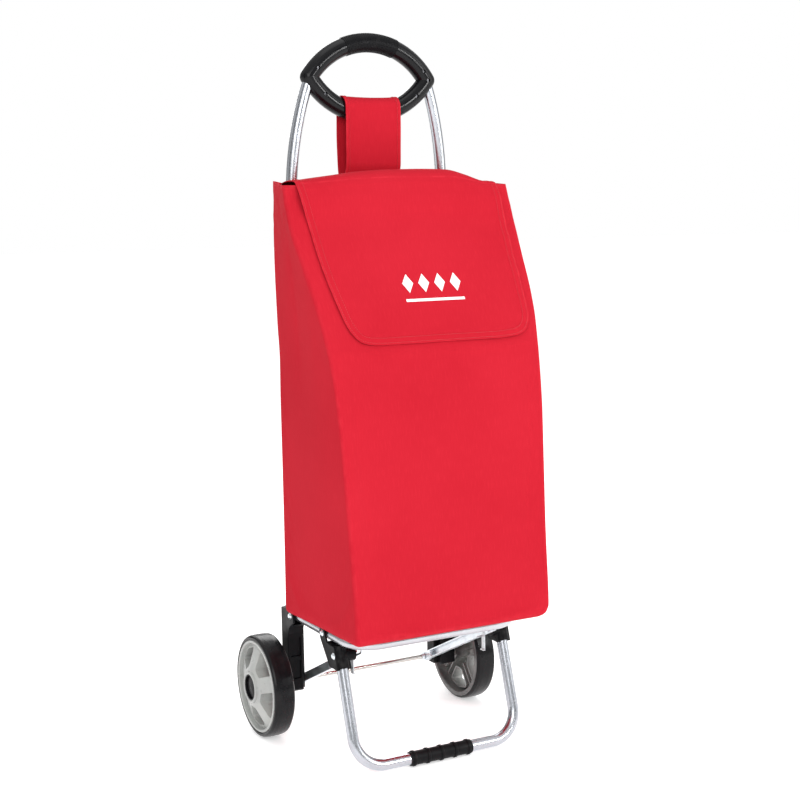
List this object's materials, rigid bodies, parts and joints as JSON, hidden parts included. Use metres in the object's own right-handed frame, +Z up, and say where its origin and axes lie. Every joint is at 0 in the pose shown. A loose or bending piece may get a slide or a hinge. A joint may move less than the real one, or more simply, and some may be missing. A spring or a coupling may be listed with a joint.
{
  "type": "folding shopping trolley",
  "caption": "Folding shopping trolley: tube frame on two spoked wheels, fold-up shelf with a stand, and a tall red fabric bag with a flap over its mouth.",
  "frame": {"origin": "on the floor, at the middle of the whole object's footprint", "axes": "+Z up, -Y towards the bag's front and the stand, +Y towards the wheels, X across along the axle"},
  "size_m": [0.388, 0.35, 1.0152],
  "materials": {
    "handle_plastic": "smooth moulded black",
    "bracket_plastic": "fine moulded black",
    "black_rubber": "ribbed soft black",
    "silver_tube": "bright satin tube",
    "chrome_rod": "bright rod",
    "zinc_steel": "bright zinc plate",
    "spring_steel": "spring steel",
    "tyre": "smooth, slightly glossy",
    "hub_plastic": "light grey moulded",
    "bush_plastic": "natural nylon",
    "cap_plastic": "black",
    "red_fabric": "plain weave polyester, red",
    "board": "hardboard"
  },
  "bodies": {
    "frame": {"handle_front": "handle_plastic", "handle_rear": "handle_plastic", "handle_screws": "zinc_steel", "handle_grip": "black_rubber", "upright_left": "silver_tube", "upright_right": "silver_tube", "upright_plugs": "bracket_plastic", "rear_bracket_left": "bracket_plastic", "rear_bracket_right": "bracket_plastic", "bracket_rivets": "zinc_steel", "shelf_pivot_rivets": "zinc_steel", "axle_rod": "chrome_rod", "axle_bushes": "bracket_plastic", "axle_collars": "zinc_steel", "wheel_spacers": "bracket_plastic", "push_nuts": "zinc_steel", "bag_body": "red_fabric", "bag_strap": "red_fabric"},
    "shelf": {"shelf_loop": "silver_tube", "shelf_plugs": "bracket_plastic", "bag_board": "board"},
    "stand": {"front_bracket_left": "bracket_plastic", "front_bracket_right": "bracket_plastic", "stand_tube": "silver_tube", "foot_grip": "black_rubber", "bracket_pivot_rivets": "zinc_steel", "strut_pins": "zinc_steel"},
    "strut_left": {"strut_left": "zinc_steel", "latch_left": "spring_steel"},
    "strut_right": {"strut_right": "zinc_steel", "latch_right": "spring_steel"},
    "wheel_left": {"tyre_left": "tyre", "wheel_hub_left": "hub_plastic", "hub_bush_left": "bush_plastic", "hub_cap_left": "cap_plastic"},
    "wheel_right": {"tyre_right": "tyre", "wheel_hub_right": "hub_plastic", "hub_bush_right": "bush_plastic", "hub_cap_right": "cap_plastic"},
    "flap": {"flap_top": "red_fabric"},
    "flap_drop": {"flap_front": "red_fabric"}
  },
  "joints": [
    {"name": "shelf_fold", "type": "hinge", "parent": "frame", "child": "shelf", "pos_m": [0, 0.066, 0.183], "axis": [-1, 0, 0], "range_deg": [0, 86], "deforming": ["bag_body"]},
    {"name": "stand_swing", "type": "hinge", "parent": "shelf", "child": "stand", "pos_m": [0, -0.04, 0.184], "axis": [-1, 0, 0], "range_deg": [-86, 0]},
    {"name": "strut_left_swing", "type": "hinge", "parent": "frame", "child": "strut_left", "pos_m": [-0.104, 0.1, 0.075], "axis": [-1, 0, 0], "range_deg": [0, 43]},
    {"name": "strut_right_swing", "type": "hinge", "parent": "frame", "child": "strut_right", "pos_m": [0.104, 0.1, 0.075], "axis": [-1, 0, 0], "range_deg": [0, 43]},
    {"name": "wheel_left_spin", "type": "hinge", "parent": "frame", "child": "wheel_left", "pos_m": [-0.17, 0.1, 0.075], "axis": [1, 0, 0], "continuous": true},
    {"name": "wheel_right_spin", "type": "hinge", "parent": "frame", "child": "wheel_right", "pos_m": [0.17, 0.1, 0.075], "axis": [1, 0, 0], "continuous": true},
    {"name": "flap_open", "type": "hinge", "parent": "frame", "child": "flap", "pos_m": [0, 0.0475, 0.812], "axis": [-1, 0, 0], "range_deg": [0, 74]},
    {"name": "flap_bend", "type": "hinge", "parent": "flap", "child": "flap_drop", "pos_m": [0, -0.032, 0.8052], "axis": [-1, 0, 0], "range_deg": [0, 45]}
  ],
  "couplings": [
    {"joint": "stand_swing", "follows": "shelf_fold", "ratio": -1},
    {"joint": "strut_left_swing", "follows": "shelf_fold", "ratio": 0.493},
    {"joint": "strut_right_swing", "follows": "shelf_fold", "ratio": 0.493},
    {"joint": "flap_bend", "follows": "flap_open", "ratio": 0.6}
  ]
}
